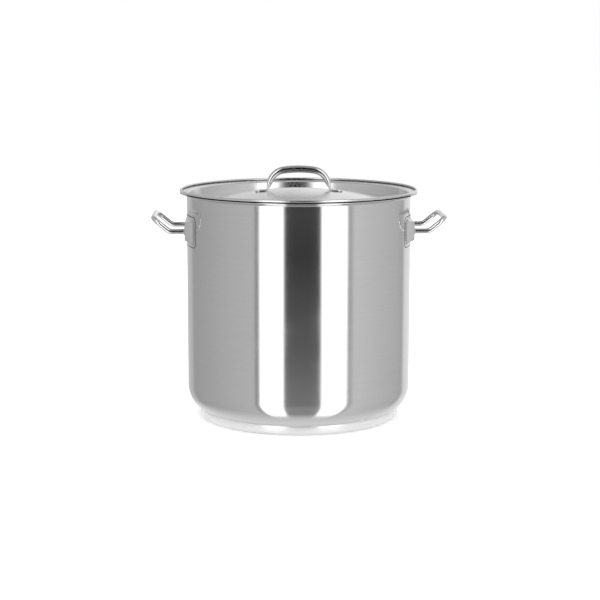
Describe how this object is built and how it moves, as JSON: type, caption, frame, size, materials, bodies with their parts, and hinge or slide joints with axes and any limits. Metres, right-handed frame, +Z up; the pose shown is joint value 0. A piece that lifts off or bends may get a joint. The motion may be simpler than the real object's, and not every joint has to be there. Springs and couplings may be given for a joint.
{
  "type": "stock pot",
  "caption": "Tall straight-sided steel stock pot with a flared rim, sandwich base, loop side handles and a sunken domed lid that lifts off by an arched handle.",
  "frame": {"origin": "centre of the underside of the base, on the pot's axis", "axes": "+Z up along the pot's axis, +X towards one loop handle, +Y towards the back, -Y towards the front"},
  "size_m": [0.4758, 0.3866, 0.4095],
  "materials": {
    "satin_body_steel": "satin stainless steel, brushed round the body",
    "bright_base_steel": "bright stainless steel cap, finely turned",
    "core_aluminium": "plain aluminium, hidden in the base",
    "satin_plate_steel": "pressed satin stainless steel",
    "polished_handle_steel": "polished stainless steel tube",
    "satin_lid_steel": "satin stainless steel, brushed in circles",
    "weld_steel": "cleaned weld metal and spot-weld marks"
  },
  "bodies": {
    "pot": {"pot_shell": "satin_body_steel", "base_core": "core_aluminium", "base_cap": "bright_base_steel", "right_handle_plate": "satin_plate_steel", "left_handle_plate": "satin_plate_steel", "right_plate_spot_welds": "weld_steel", "left_plate_spot_welds": "weld_steel", "right_loop_handle": "polished_handle_steel", "left_loop_handle": "polished_handle_steel", "right_handle_welds": "weld_steel", "left_handle_welds": "weld_steel"},
    "lid": {"lid_pan": "satin_lid_steel", "lid_handle": "polished_handle_steel", "lid_handle_spot_welds": "weld_steel"}
  },
  "joints": [
    {"name": "lid_lift", "type": "slide", "parent": "pot", "child": "lid", "axis": [0, 0, 1], "range_m": [0, 0.25]}
  ]
}
